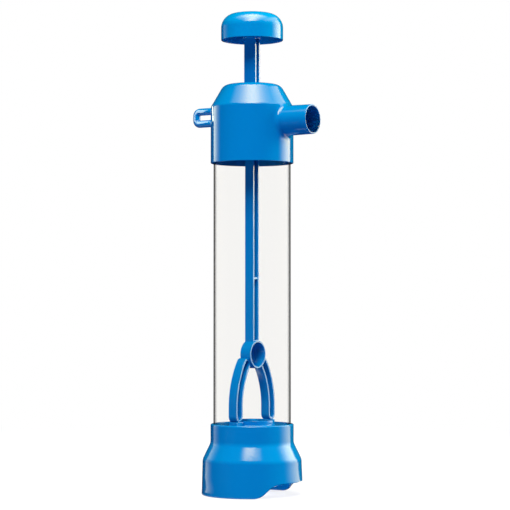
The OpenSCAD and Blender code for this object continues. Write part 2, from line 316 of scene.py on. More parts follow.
# Mirrored studio, in metres: the dark wall round the object, with its floor and ceiling
wall_r = 1
wall_in_r = 0.02
wall_h = 1.4
wall_z = 0.001
wall_sides = 96
wall_level = 0.01

# Lit panel on the wall at the camera's right: its colour, its turns in degrees and its levels at heights
right_colour = (1, 0.85, 0.5, 1)
right_rise = (76, 112)
right_fall = (131, 126.5)
right_levels = ((0, 3.3), (0.5, 8), (0.75, 6), (1, 4), (1.3, 0))

# Colour of the cards at the camera's left, and the heights between which the lower one leans
left_colour = (1, 1.05, 0.75, 1)
lean_heights = (0.001, 0.012)

# Cards at the camera's left: outline, turns of rise and fall in degrees, levels at heights, lean in degrees
left_cards = {
    "upper_card": (((0.4, 0.27), (0.4, 0.5)), (-94, -131), (-131, -127),
                   ((0.27, 0.9), (0.33, 5), (0.39, 5), (0.44, 1), (0.5, 0.4)), 0),
    "lower_card": (((0.06, 0.001), (0.12, 0.012), (0.12, 0.27)), (-86, -114), (-120, -116),
                   ((0.012, 1.7), (0.03, 1.1), (0.05, 1.1), (0.06, 1.8), (0.09, 1.2)), 22),
}

# Small card that the hanging eye mirrors: the eye's middle, and the card's direction, distance and size
eye_middle = 0.05
eye_card_turn = math.radians(-79)
eye_card_rise = math.radians(23)
eye_card_distance = 0.02
eye_card_size = (0.012, 0.022)
eye_card_level = 10

# Overhead panel: its colour, its soft edges, its bright middle and the brighter run at its right
overhead_colour = (1, 0.74, 0.28, 1)
overhead_z = 1
overhead_reach = (-0.75, 0.93)
overhead_sides = (-0.6, 0.95)
overhead_back = (-0.12, 0.1)
overhead_turn = (0.45, 0.58)
overhead_left = (-0.6, -0.45)
overhead_right = (0.52, 0.38)
overhead_near = (0.7, 0.5)
overhead_spread = 0.28
overhead_shift = (0.5, 0.85, 0, 0.08)
overhead_peak = 14
overhead_gain = (0.5, 0.85, 1, 1.4)
overhead_level = 1.2
overhead_run = (0.5, 0.7, 0, 2)

# Flag that keeps the lamps out of the spout's bore
flag_gap = 0.0005


def arc_points(centre, radius, start, sweep, steps):
    """Points on an arc about a centre."""
    angles = [start + sweep * i / steps for i in range(steps + 1)]
    return [(centre[0] + radius * math.cos(a), centre[1] + radius * math.sin(a)) for a in angles]


def full_turn(count):
    """Angles evenly spaced round a full turn."""
    return [2 * math.pi * i / count for i in range(count)]


def corner_points(before, at, after, radius):
    """Points that round one corner of an outline."""
    if radius == 0:
        return [at]
    at = Vector(at)
    back = (Vector(before) - at).normalized()
    ahead = (Vector(after) - at).normalized()
    half = back.angle(ahead) / 2
    centre = at + (back + ahead).normalized() * radius / math.sin(half)
    start = at + back * radius / math.tan(half) - centre
    end = at + ahead * radius / math.tan(half) - centre
    first = math.atan2(start.y, start.x)
    sweep = math.remainder(math.atan2(end.y, end.x) - first, 2 * math.pi)
    steps = max(corner_steps, math.ceil(abs(sweep) * radius / arc_step))
    return arc_points(centre, radius, first, sweep, steps)


def rounded(corners, closed=True):
    """An outline from corners given as (x, y, radius)."""
    count = len(corners)
    points = []
    for i, (x, y, radius) in enumerate(corners):
        at_end = not closed and i in (0, count - 1)
        before = corners[i - 1][:2]
        after = corners[(i + 1) % count][:2]
        points += corner_points(before, (x, y), after, 0 if at_end else radius)
    return points


def run_between(start, end, steps):
    """Points strictly between two points."""
    return [tuple(Vector(start).lerp(Vector(end), i / steps)) for i in range(1, steps)]


def divided(points):
    """An open outline with its long sides split, so that cuts and shading stay local."""
    result = [points[0]]
    for here, there in zip(points, points[1:]):
        steps = max(1, math.ceil(math.dist(here, there) / longest_step))
        result += run_between(here, there, steps) + [there]
    return result


def mesh_object(name, mesh):
    """A new object from a bmesh, with its faces turned outwards and no loose points."""
    loose = [point for point in mesh.verts if not point.link_faces]
    bmesh.ops.delete(mesh, geom=loose, context="VERTS")
    bmesh.ops.recalc_face_normals(mesh, faces=mesh.faces)
    data = bpy.data.meshes.new(name)
    mesh.to_mesh(data)
    mesh.free()
    piece = bpy.data.objects.new(name, data)
    bpy.context.scene.collection.objects.link(piece)
    return piece


def about_z(angle, radius, height):
    """A point of a shape turned about the barrel's axis."""
    return (radius * math.cos(angle), radius * math.sin(angle), height)


def about_spout(angle, radius, height):
    """A point of a shape turned about the spout's axis, with its height along +X."""
    return (height, radius * math.sin(angle), spout_z + radius * math.cos(angle))


def revolve(name, outline_at, columns, place=about_z):
    """A closed mesh turned about an axis, from the outline at each angle, of (radius, height) points."""
    mesh = bmesh.new()
    poles = {}
    grid = []
    for angle in full_turn(columns):
        column = []
        for i, (radius, height) in enumerate(outline_at(angle)):
            if radius > pole_r:
                column.append(mesh.verts.new(place(angle, radius, height)))
            else:
                if i not in poles:
                    poles[i] = mesh.verts.new(place(angle, 0, height))
                column.append(poles[i])
        grid.append(column)
    rows = len(grid[0])
    for here, there in zip(grid, grid[1:] + grid[:1]):
        for i in range(rows):
            j = (i + 1) % rows
            corners = list(dict.fromkeys((here[i], there[i], there[j], here[j])))
            if len(corners) > 2:
                mesh.faces.new(corners)
    return mesh_object(name, mesh)


def turned(name, corners, columns=turn_columns):
    """A piece turned about the barrel's axis, from corners given as (radius, height, rounding)."""
    points = rounded(corners)
    outline = divided(points + points[:1])[:-1]
    return revolve(name, lambda angle: outline, columns)


def lofted(name, lofts):
    """One mesh of closed solids, each from rings of points joined in order and capped at both ends."""
    mesh = bmesh.new()
    for rings in lofts:
        loops = [[mesh.verts.new(point) for point in ring] for ring in rings]
        for here, there in zip(loops, loops[1:]):
            count = len(here)
            for i in range(count):
                j = (i + 1) % count
                mesh.faces.new((here[i], here[j], there[j], there[i]))
        mesh.faces.new(loops[0])
        mesh.faces.new(loops[-1])
    return mesh_object(name, mesh)


def prism(outline, heights):
    """Rings of an outline in X and Y at each height."""
    return [[(x, y, z) for x, y in outline] for z in heights]


def block(name, half_x, half_y, heights, radius=0):
    """An upright block about the barrel's axis, between two heights, with rounded upright edges."""
    corners = ((half_x, half_y), (-half_x, half_y), (-half_x, -half_y), (half_x, -half_y))
    return lofted(name, [prism(rounded([(x, y, radius) for x, y in corners]), heights)])


def holes(circles, heights):
    """Cutters for upright round holes, each given as (x, y, radius)."""
    outlines = [arc_points((x, y), radius, 0, 2 * math.pi, bar_columns)[:-1] for x, y, radius in circles]
    return lofted("holes", [prism(outline, heights) for outline in outlines])


def tray(name, outline_at, section):
    """A shell open to +X: each (inset, x) of its section is a ring of the outline in Y and Z."""
    return lofted(name, [[[(x, y, z) for y, z in outline_at(inset)] for inset, x in section]])


def tray_section(back_x, depth, floor_t, wall):
    """Section of a tray from its back, over its rim, to its floor, with soft edges."""
    front_x = back_x + depth
    floor_x = back_x + floor_t
    corners = [
        (wall, back_x, 0),
        (0, back_x, rib_edge_r),
        (0, front_x, rib_edge_r),
        (wall, front_x, rib_edge_r),
        (wall, floor_x, rib_fillet),
        (2 * wall, floor_x, 0),
    ]
    return rounded(corners, closed=False)[1:-1]


def joined(target, tool, operation):
    """The boolean of two closed pieces, kept as the first piece's mesh."""
    modifier = target.modifiers.new(operation, "BOOLEAN")
    modifier.operation = operation
    modifier.solver = "EXACT"
    modifier.object = tool
    depsgraph = bpy.context.evaluated_depsgraph_get()
    data = bpy.data.meshes.new_from_object(target.evaluated_get(depsgraph))
    target.modifiers.clear()
    target.data = data
    bpy.data.objects.remove(tool)
    return target


def even_shading(piece):
    """Smooth shading with true creases, weighted so that flat faces stay flat."""
    piece.data.shade_smooth()
    piece.data.set_sharp_from_angle(angle=sharp_angle)
    modifier = piece.modifiers.new("even_shading", "WEIGHTED_NORMAL")
    modifier.keep_sharp = True


def finished(piece, node):
    """A modelled piece that stands for a CAD node, on that node's body and with its slot's material."""
    even_shading(piece)
    piece.data.materials.clear()
    piece.data.materials.append(materials[slots[node]])
    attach(piece, bodies[node])
    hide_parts(node)


def barrel_tube():
    """The clear tube, with softly broken ends."""
    return turned("clear_barrel_tube", [
        (bore_r, tube_low.z, tube_edge_r),
        (tube_r, tube_low.z, tube_edge_r),
        (tube_r, tube_high.z, tube_edge_r),
        (bore_r, tube_high.z, tube_edge_r),
    ])


def head_outer():
    """Outer outline of the head, from its lip to the middle of its top."""
    return rounded([
        (grip_r, head_low.z, 0),
        (head_r, head_low.z, head_lip_r),
        (head_r, shoulder_z, head_side_round),
        (head_top_r, head_high.z, head_top_round),
        (0, head_high.z, 0),
    ], closed=False)


def head_shell():
    """The head's turned shell, closed under its lip."""
    inner_z = head_high.z - head_top_t
    inner = rounded([
        (0, inner_z, 0),
        (head_top_r - head_top_t, inner_z, head_top_round - head_top_t),
        (chamber_r, shoulder_z, head_side_round),
        (chamber_r, tube_high.z, 0),
        (grip_r, tube_high.z, 0),
    ], closed=False)
    outline = divided(head_outer()) + divided(inner)
    return revolve("pump_head", lambda angle: outline, turn_columns)


def spout_solid():
    """The spout as a solid, with a fillet that runs out on the head's surface all round."""
    side = [(z, r) for r, z in head_outer() if r > head_top_r]
    side_z = [z for z, r in side]
    side_r = [r for z, r in side]

    def wall_x(angle, radius):
        z = spout_z + radius * math.cos(angle)
        y = radius * math.sin(angle)
        return math.sqrt(np.interp(z, side_z, side_r) ** 2 - y ** 2)

    def spout_r(x):
        return spout_root_r + (spout_tip_r - spout_root_r) * x / spout_reach

    def fillet_points(angle, start):
        out_r = spout_r(head_r) + spout_fillet
        end = Vector((out_r, wall_x(angle, out_r) + fillet_rise))
        along = Vector((over, wall_x(angle, out_r + over) - wall_x(angle, out_r))).normalized()
        pull = spout_fillet * fillet_pull_share
        near = start - Vector((0, pull))
        far = end - along * pull
        points = []
        for i in range(arc_steps + 1):
            t = i / arc_steps
            s = 1 - t
            points.append(tuple(start * s ** 3 + near * 3 * s ** 2 * t + far * 3 * s * t ** 2 + end * t ** 3))
        tuck_r = out_r + fillet_dip
        half_r = tuck_r / 2
        tucked = (tuck_r, wall_x(angle, tuck_r) - fillet_tuck)
        return points + [tucked, (half_r, wall_x(angle, half_r) - root_depth)]

    def outline_at(angle):
        start_x = wall_x(angle, spout_r(head_r)) + spout_fillet
        start = Vector((spout_r(start_x), start_x))
        tip = rounded([
            (0, spout_reach, 0),
            (spout_tip_r, spout_reach, spout_lip_r),
            (start.x, start.y, 0),
        ], closed=False)[:-1]
        side_run = run_between(tip[-1], start, spout_rows)
        return tip + side_run + fillet_points(angle, start) + [(0, head_r - root_depth)]

    return revolve("spout_solid", outline_at, spout_columns, about_spout)


def spout_bore():
    """Cutter for the spout's bore, flared over the lip's inner edge."""
    lip = arc_points((spout_bore_r + spout_lip_r, spout_reach - spout_lip_r), spout_lip_r,
                     math.pi, -math.pi / 2, corner_steps)
    end_x = spout_reach + over
    outline = [(0, 0), (spout_bore_r, 0)] + lip + [(lip[-1][0], end_x), (0, end_x)]
    return revolve("spout_bore", lambda angle: outline, spout_columns, about_spout)


def hanging_eye():
    """The eye's round bar, with a small fillet where it leaves the head."""
    bar_z = eye_gap / 2 + eye_bar_r
    end_x = eye_reach - eye_bar_r
    bend_x = end_x - eye_bend_r
    root = [(head_r - eye_root_depth, eye_bar_r + eye_root_r)]
    for out, rise in arc_points((0, 0), eye_root_r, math.pi / 2, -math.pi / 2, corner_steps):
        root.append((head_r + eye_root_r - rise, eye_bar_r + eye_root_r - out))
    bend = arc_points((bend_x, bar_z - eye_bend_r), eye_bend_r, math.pi / 2, -math.pi / 2, arc_steps)
    upper = [(x, bar_z, radius) for x, radius in root] + [(x, z, eye_bar_r) for x, z in bend]
    lower = [(x, -z, radius) for x, z, radius in reversed(upper)]
    path = upper + lower
    rings = []
    for i, (x, z, radius) in enumerate(path):
        before = path[max(i - 1, 0)]
        after = path[min(i + 1, len(path) - 1)]
        along = Vector((after[0] - before[0], after[1] - before[1])).normalized()
        ring = []
        for angle in full_turn(bar_columns):
            out = radius * math.cos(angle)
            ring.append((along.y * out - x, radius * math.sin(angle), eye_z + z + along.x * out))
        rings.append(ring)
    return lofted("hanging_eye", [rings])


def rod_slot():
    """Cutter for the rod's hole in the head's top."""
    return block("rod_slot", *rod_hole / 2, (shoulder_z, head_high.z + over), rod_hole_r)


def head_cap():
    """The head: shell, spout and hanging eye in one moulding."""
    head = joined(head_shell(), spout_solid(), "UNION")
    head = joined(head, hanging_eye(), "UNION")
    head = joined(head, spout_bore(), "DIFFERENCE")
    return joined(head, rod_slot(), "DIFFERENCE")


def base_foot():
    """The base, whose lower edge follows the notch."""
    flare_z = skirt_h + flare_h
    flare_r = base_r - skirt_draft
    ledge_low_z = seat_low.z - seat_ledge_t
    inner_r = base_r - base_wall
    inner_top_r = flare_r - base_wall
    inner_top_z = skirt_h - base_wall / 2
    slope = (flare_r - collar_r) / flare_h
    ledge_root_r = inner_top_r - slope * (ledge_low_z - inner_top_z)
    skirt_top_z = skirt_h - flare_round / 2
    notch = rounded([
        (0, 0, 0),
        (base_r - notch_depth, 0, notch_foot_r),
        (base_r - notch_top_depth, notch_h, notch_top_r),
        (base_r, notch_h, 0),
    ], closed=False)
    notch_x = [x for x, z in notch]
    notch_z = [z for x, z in notch]
    upper = divided(rounded([
        (base_r - skirt_draft * skirt_top_z / skirt_h, skirt_top_z, 0),
        (flare_r, skirt_h, flare_round),
        (collar_r, flare_z, flare_round),
        (collar_r, base_h, collar_edge_r),
        (grip_r, base_h, lip_edge_r),
        (grip_r, seat_low.z, 0),
        (grip_r - seat_ledge_w, seat_low.z, 0),
        (grip_r - seat_ledge_w, ledge_low_z, 0),
        (ledge_root_r, ledge_low_z, 0),
        (inner_top_r, inner_top_z, 0),
    ], closed=False))

    def foot_z(angle, radius):
        return float(np.interp(radius * math.cos(angle - notch_turn), notch_x, notch_z))

    def outline_at(angle):
        out_z = foot_z(angle, base_r)
        in_z = foot_z(angle, inner_r)
        foot = rounded([
            (inner_r, in_z + lip_edge_r * 2, 0),
            (inner_r, in_z, lip_edge_r),
            (base_r, out_z, lip_edge_r),
            (base_r, out_z + lip_edge_r * 2, 0),
        ], closed=False)
        outer = run_between(foot[-1], upper[0], skirt_rows)
        inner = run_between(upper[-1], foot[0], skirt_rows)
        return foot + outer + upper + inner

    return revolve("pump_base", outline_at, base_columns)


def knob():
    """The knob: a hollow dome with a socket for the stem."""
    low_z = knob_low.z
    crown_z = knob_high.z
    inner_z = crown_z - knob_wall
    dome = turned("pump_knob", [
        (knob_r - knob_wall, low_z, knob_edge_r),
        (knob_r, low_z, knob_edge_r),
        (knob_r, crown_z, knob_round),
        (0, crown_z, 0),
        (0, low_z + socket_inset, 0),
        (socket_r, low_z + socket_inset, socket_edge_r),
        (socket_r, inner_z, socket_fillet),
        (knob_r - knob_wall, inner_z, knob_round - knob_wall),
    ])
    socket = block("stem_socket", stem_d / 2 + press_gap, stem_w / 2 + press_gap, (low_z, inner_z))
    return joined(dome, socket, "DIFFERENCE")


def channel(name, depth, width, from_z, to_z):
    """A straight channel open to +X and closed at both ends."""
    def outline_at(inset):
        half = width / 2 - inset
        radius = max(rod_corner_r - inset, pole_r)
        return rounded([
            (half, from_z + inset, radius),
            (half, to_z - inset, radius),
            (-half, to_z - inset, radius),
            (-half, from_z + inset, radius),
        ])
    return tray(name, outline_at, tray_section(-depth / 2, depth, rib_t, rib_t))


def boss():
    """The round cup where the rod meets the fork."""
    def outline_at(inset):
        return arc_points((0, boss_z), boss_r - inset, 0, 2 * math.pi, boss_columns)[:-1]
    depth = rod_high.x - rod_back_x
    return tray("boss", outline_at, tray_section(rod_back_x, depth, boss_floor_t, boss_wall))


def fork_leg(side):
    """One bowed leg of the fork; side is 1 or -1."""
    bow = (leg_reach - leg_bow_r, feet_z + leg_knee_h)
    sweep = math.asin((boss_h - leg_drop - leg_knee_h) / leg_bow_r)
    top = (bow[0] + leg_bow_r * math.cos(sweep), bow[1] + leg_bow_r * math.sin(sweep))
    foot = (leg_reach, feet_z + leg_w / 2)

    def outline_at(inset):
        half = leg_w / 2 - inset
        points = arc_points(bow, leg_bow_r + half, 0, sweep, arc_steps)
        points += arc_points(top, half, sweep, math.pi, arc_steps)[1:]
        points += arc_points(bow, leg_bow_r - half, sweep, -sweep, arc_steps)[1:]
        points += arc_points(foot, half, math.pi, math.pi, arc_steps)
        return [(side * y, z) for y, z in points]

    return tray("fork_leg", outline_at, tray_section(-leg_d / 2, leg_d, rib_t, rib_t))


def peg(side):
    """The peg under one foot, with a rounded tip."""
    outline = rounded([
        (0, rod_low.z, 0),
        (peg_r, rod_low.z, peg_tip_r),
        (peg_r, feet_z + rib_t / 2, 0),
        (0, feet_z + rib_t / 2, 0),
    ], closed=False)

    def place(angle, radius, height):
        return (radius * math.cos(angle), side * leg_reach + radius * math.sin(angle), height)

    return revolve("peg", lambda angle: outline, bar_columns, place)


def cross_rib():
    """The rib across the rod's channel."""
    from_z = boss_z + cross_rib_h
    return block("cross_rib", rod_d / 2 - rib_edge_r, rod_w / 2 - rib_edge_r, (from_z, from_z + cross_rib_t))


def plunger_rod():
    """The plunger: rod, stem, boss and fork in one open-channel moulding."""
    rod = channel("pump_plunger", rod_d, rod_w, boss_z + boss_r - boss_wall, stem_z + rib_t)
    parts = [channel("stem", stem_d, stem_w, stem_z, rod_high.z), boss(), cross_rib()]
    for side in (1, -1):
        parts += [fork_leg(side), peg(side)]
    for part in parts:
        rod = joined(rod, part, "UNION")
    return rod


def ported(plate, low_z, high_z):
    """A plate with a ring of ports and the hole for its valve's pin."""
    circles = [(0, 0, pin_neck_r + press_gap)]
    for angle in full_turn(port_count):
        x, y, z = about_z(angle, port_ring_r, 0)
        circles.append((x, y, port_r))
    return joined(plate, holes(circles, (low_z - over, high_z + over)), "DIFFERENCE")


def foot_pad(side):
    """The pad under one foot of the fork, with a softened top; side is 1 or -1."""
    half_x = leg_d / 2 + pad_side
    in_y = hub_r - hub_wall / 2
    rings = [(0, plate_top_z - plate_t / 2)]
    rings += arc_points((pad_edge_r, feet_z - pad_edge_r), pad_edge_r, math.pi, -math.pi / 2, corner_steps)
    outlines = []
    for inset, z in rings:
        radius = 2 * pad_edge_r - inset
        outline = rounded([
            (half_x - inset, in_y + inset, radius),
            (half_x - inset, rod_high.y - inset, radius),
            (inset - half_x, rod_high.y - inset, radius),
            (inset - half_x, in_y + inset, radius),
        ])
        outlines.append([(x, side * y, z) for x, y in outline])
    return lofted("foot_pad", [outlines])


def piston_body():
    """The piston: a ported plate with a grooved skirt, a hub round the valve and pads for the fork's feet."""
    plate_low_z = plate_top_z - plate_t
    skirt_in_r = groove_r - groove_wall
    groove_low_z = seal_low.z
    groove_high_z = seal_high.z + seal_slack
    piston = turned("pump_piston", [
        (0, plate_low_z, 0),
        (skirt_in_r, plate_low_z, piston_fillet),
        (skirt_in_r, piston_low.z, piston_edge_r),
        (piston_r, piston_low.z, piston_edge_r),
        (piston_r, groove_low_z, groove_edge_r),
        (groove_r, groove_low_z, groove_edge_r),
        (groove_r, groove_high_z, groove_edge_r),
        (piston_r, groove_high_z, groove_edge_r),
        (piston_r, plate_top_z, piston_edge_r),
        (hub_r, plate_top_z, piston_fillet),
        (hub_r, piston_high.z, piston_edge_r),
        (hub_r - hub_wall, piston_high.z, piston_edge_r),
        (hub_r - hub_wall, plate_top_z, piston_fillet),
        (0, plate_top_z, 0),
    ])
    for side in (1, -1):
        piston = joined(piston, foot_pad(side), "UNION")
    peg_circles = [(0, side * leg_reach, peg_r + press_gap) for side in (1, -1)]
    piston = joined(piston, holes(peg_circles, (rod_low.z - over, feet_z + over)), "DIFFERENCE")
    return ported(piston, plate_low_z, plate_top_z)


def piston_seal():
    """The piston's rubber ring: a heel in the groove and a lip against the barrel."""
    heel_r = groove_r + press_gap
    lip_r = seal_high.x
    low_z = seal_low.z
    return turned("piston_lip_seal", [
        (heel_r, low_z, seal_edge_r),
        (lip_r - seal_heel_in, low_z, seal_edge_r),
        (lip_r, low_z + seal_land_z, seal_edge_r),
        (lip_r, low_z + seal_land_z + seal_land_h, seal_edge_r),
        (lip_r - seal_leg_t, seal_high.z, seal_tip_r),
        ((heel_r + lip_r) / 2, low_z + seal_heel_h, seal_tip_r),
        (heel_r + seal_leg_t, seal_high.z, seal_tip_r),
        (heel_r, seal_high.z, seal_tip_r),
    ])


def rubber_ring(name, node, hole_r):
    """A flat rubber ring or disc in a node's place, with softened edges and just clear of what it meets."""
    low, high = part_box(node)
    low_z = low.z + rubber_gap
    high_z = high.z - rubber_gap
    return turned(name, [
        (hole_r, low_z, rubber_edge_r),
        (high.x, low_z, rubber_edge_r),
        (high.x, high_z, rubber_edge_r),
        (hole_r, high_z, rubber_edge_r),
    ])


def valve_pin(name, node, plate_z):
    """A mushroom pin in the place of a node, snapped through a plate whose top is at plate_z."""
    low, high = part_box(node)
    barb_z = low.z + pin_barb_h
    head_z = high.z - pin_head_h
    return turned(name, [
        (0, low.z, 0),
        (pin_tip_r, low.z, pin_edge_r),
        (pin_barb_r, barb_z, pin_edge_r),
        (pin_neck_r, barb_z, 0),
        (pin_neck_r, plate_z, 0),
        (pin_r, plate_z, 0),
        (pin_r, head_z, pin_edge_r),
        (high.x, head_z, pin_edge_r),
        (high.x, head_z + pin_head_edge_h, pin_edge_r),
        (pin_r, high.z, pin_head_round),
        (0, high.z, 0),
    ], bar_columns)


def foot_valve_seat():
    """The foot valve's ported plate."""
    plate = turned("foot_valve_plate", [
        (0, seat_low.z, 0),
        (seat_high.x, seat_low.z, piston_edge_r),
        (seat_high.x, seat_high.z, piston_edge_r),
        (0, seat_high.z, 0),
    ])
    return ported(plate, seat_low.z, seat_high.z)


def link(tree, source, target):
    """Joins an output socket to an input socket."""
    tree.links.new(source, target)


def node_of(tree, kind, **settings):
    """A shader node with its settings and plain input values."""
    made = tree.nodes.new(kind)
    for name, value in settings.items():
        if hasattr(made, name):
            setattr(made, name, value)
        else:
            made.inputs[name.replace("_", " ")].default_value = value
    return made


def calculated(tree, operation, first, second):
    """A math node over two values, each a socket or a number."""
    made = node_of(tree, "ShaderNodeMath", operation=operation)
    for socket, value in zip(made.inputs, (first, second)):
        if isinstance(value, bpy.types.NodeSocket):
            link(tree, value, socket)
        else:
            socket.default_value = value
    return made.outputs["Value"]


def product(tree, *values):
    """The product of several sockets or numbers."""
    result = values[0]
    for value in values[1:]:
        result = calculated(tree, "MULTIPLY", result, value)
    return result


def ramp(tree, value, start, end, low=0, high=1):
    """A smooth change from low, at the start value, to high, at the end value."""
    made = node_of(tree, "ShaderNodeMapRange", interpolation_type="SMOOTHSTEP")
    made.inputs["From Min"].default_value = start
    made.inputs["From Max"].default_value = end
    made.inputs["To Min"].default_value = low
    made.inputs["To Max"].default_value = high
    link(tree, value, made.inputs["Value"])
    return made.outputs["Result"]


def object_place(tree):
    """The place on the object, in metres in the shared frame."""
    return node_of(tree, "ShaderNodeTexCoord").outputs["Object"]


def noise(tree, scale, detail=flow_detail):
    """Soft noise over the object, from 0 to 1."""
    made = node_of(tree, "ShaderNodeTexNoise", Scale=scale, Detail=detail)
    link(tree, object_place(tree), made.inputs["Vector"])
    return made.outputs["Fac"]


def colour_mix(tree, factor, first, second):
    """A mix of two colours by a socket."""
    made = node_of(tree, "ShaderNodeMix", data_type="RGBA")
    made.inputs[mix_first].default_value = first
    made.inputs[mix_second].default_value = second
    link(tree, factor, made.inputs["Factor"])
    return made.outputs[mix_result]


def shader_mix(tree, factor, first, second):
    """A mix of two shaders by a socket."""
    made = node_of(tree, "ShaderNodeMixShader")
    link(tree, factor, made.inputs["Fac"])
    link(tree, first, made.inputs[1])
    link(tree, second, made.inputs[2])
    return made.outputs["Shader"]


def bumped(tree, height, strength):
    """A normal raised by a fine pattern."""
    made = node_of(tree, "ShaderNodeBump", Strength=strength, Distance=skin_depth)
    link(tree, height, made.inputs["Height"])
    return made.outputs["Normal"]


def new_material(name):
    """An empty node material and its tree."""
    material = bpy.data.materials.new(name)
    material.use_nodes = True
    material.node_tree.nodes.clear()
    return material, material.node_tree


def surfaced(tree, shader):
    """Ends a material's tree with its shader."""
    link(tree, shader, node_of(tree, "ShaderNodeOutputMaterial").inputs["Surface"])


def linear(colour):
    """A colour given in 0 to 255, as linear light with full alpha."""
    light = []
    for value in colour:
        v = value / full_scale
        if v <= curve_start:
            light.append(v / curve_slope)
        else:
            light.append(((v + curve_shift) / (1 + curve_shift)) ** curve_power)
    return (*light, 1)


def moulded_plastic(name, deep, light, roughness, spread, specular):
    """Glossy moulded plastic: faint flow streaks in its colour, uneven gloss and a fine orange-peel skin."""
    material, tree = new_material(name)
    shader = node_of(tree, "ShaderNodeBsdfPrincipled", IOR=plastic_ior, Specular_IOR_Level=specular)
    colour = colour_mix(tree, noise(tree, flow_scale), linear(deep), linear(light))
    link(tree, colour, shader.inputs["Base Color"])
    gloss = ramp(tree, noise(tree, gloss_scale), 0, 1, roughness - spread, roughness + spread)
    link(tree, gloss, shader.inputs["Roughness"])
    link(tree, bumped(tree, noise(tree, skin_scale, 0), skin_strength), shader.inputs["Normal"])
    surfaced(tree, shader.outputs["BSDF"])
    return material


def clear_plastic(name):
    """Clear plastic: straight sight through it, a mirror skin, and a dark rim where its wall turns away."""
    material, tree = new_material(name)
    through = node_of(tree, "ShaderNodeBsdfTransparent", Color=clear_tint)
    skin = node_of(tree, "ShaderNodeBsdfPrincipled", IOR=plastic_ior, Base_Color=clear_rim_colour)
    link(tree, ramp(tree, noise(tree, gloss_scale), 0, 1, *clear_roughness), skin.inputs["Roughness"])
    across = node_of(tree, "ShaderNodeVectorMath", operation="MULTIPLY")
    across.inputs[1].default_value = level_only
    link(tree, object_place(tree), across.inputs[0])
    radius = node_of(tree, "ShaderNodeVectorMath", operation="LENGTH")
    link(tree, across.outputs["Vector"], radius.inputs[0])
    outside = calculated(tree, "GREATER_THAN", radius.outputs["Value"], (tube_r + bore_r) / 2)
    facing = node_of(tree, "ShaderNodeLayerWeight").outputs["Facing"]
    rim = ramp(tree, product(tree, facing, outside), *clear_rim_shares, clear_skin_share, 1)
    surfaced(tree, shader_mix(tree, rim, through.outputs["BSDF"], skin.outputs["BSDF"]))
    return material


def rubber(name, colour):
    """Smooth dark rubber with a dull, finely grained skin."""
    material, tree = new_material(name)
    grain = noise(tree, rubber_scale)
    shader = node_of(tree, "ShaderNodeBsdfPrincipled", Base_Color=linear(colour))
    link(tree, ramp(tree, grain, 0, 1, *rubber_roughness), shader.inputs["Roughness"])
    link(tree, bumped(tree, grain, rubber_strength), shader.inputs["Normal"])
    surfaced(tree, shader.outputs["BSDF"])
    return material


def aimed(obj, place, target):
    """Puts an object at a place, looking at a target."""
    obj.location = place
    obj.rotation_euler = (Vector(target) - Vector(place)).to_track_quat("-Z", "Y").to_euler()
    bpy.context.scene.collection.objects.link(obj)
    return obj


def level_direction(turn):
    """The level direction at a turn to the camera's right, seen from the barrel's axis."""
    angle = eye_azimuth + turn
    return Vector((math.sin(angle), -math.cos(angle), 0))


def camera():
    """The camera at the photograph's angle, aimed so that the axis and horizon fall where they do there."""
    right = level_direction(math.pi / 2)
    half_px = frame_px / 2
    scale = eye_distance / focal_px
    target = right * (half_px - axis_px) * scale + Vector((0, 0, eye_h + (horizon_px - half_px) * scale))
    data = bpy.data.cameras.new("camera")
    data.sensor_width = sensor_mm
    data.lens = sensor_mm * focal_px / frame_px
    place = level_direction(0) * eye_distance + Vector((0, 0, eye_h))
    bpy.context.scene.camera = aimed(bpy.data.objects.new("camera", data), place, target)


def unmirrored(lamp):
    """Keeps a lamp itself out of sight and out of the plastic's reflections."""
    lamp.visible_camera = False
    lamp.visible_transmission = False
    lamp.visible_glossy = False


def softbox(name, turn, elevation, distance, side, level, colour):
    """A soft square lamp; level is the light that a white surface facing it sends back."""
    target = Vector((0, 0, mid_h))
    rise = math.radians(elevation)
    out = level_direction(math.radians(turn)) * math.cos(rise) + Vector((0, 0, math.sin(rise)))
    data = bpy.data.lights.new(name, "AREA")
    data.size = side
    data.energy = level * (math.pi * distance) ** 2
    data.color = colour
    unmirrored(aimed(bpy.data.objects.new(name, data), target + out * distance, target))


def chamber_fill():
    """A small lamp in the base, for the light that a white floor sends in through the notch."""
    data = bpy.data.lights.new("chamber_fill", "POINT")
    data.shadow_soft_size = chamber_lamp_r
    data.energy = chamber_level * (2 * math.pi * base_r) ** 2
    lamp = bpy.data.objects.new("chamber_fill", data)
    lamp.location.z = notch_h / 2
    bpy.context.scene.collection.objects.link(lamp)
    unmirrored(lamp)


def stepped(tree, value, stops):
    """Levels at stops of (value, level), with smooth changes between them."""
    total = stops[0][1]
    for (start, low), (end, high) in zip(stops, stops[1:]):
        total = calculated(tree, "ADD", ramp(tree, value, start, end, 0, high - low), total)
    return total


def unseen(piece):
    """A stage piece that the camera, bounced light and clear plastic don't see."""
    piece.visible_camera = False
    piece.visible_diffuse = False
    piece.visible_transmission = False


def mirrored_only(name, mesh, colour, pattern=None, level=1):
    """A glowing stage piece that is only seen mirrored in the object, with +X towards the camera."""
    material, tree = new_material(name + "_glow")
    glow = node_of(tree, "ShaderNodeEmission", Color=colour, Strength=level)
    if pattern:
        axes = node_of(tree, "ShaderNodeSeparateXYZ")
        link(tree, object_place(tree), axes.inputs["Vector"])
        link(tree, pattern(tree, *axes.outputs), glow.inputs["Strength"])
    surfaced(tree, glow.outputs["Emission"])
    piece = mesh_object(name, mesh)
    piece.data.materials.append(material)
    piece.rotation_euler.z = eye_azimuth - math.pi / 2
    piece.visible_shadow = False
    unseen(piece)


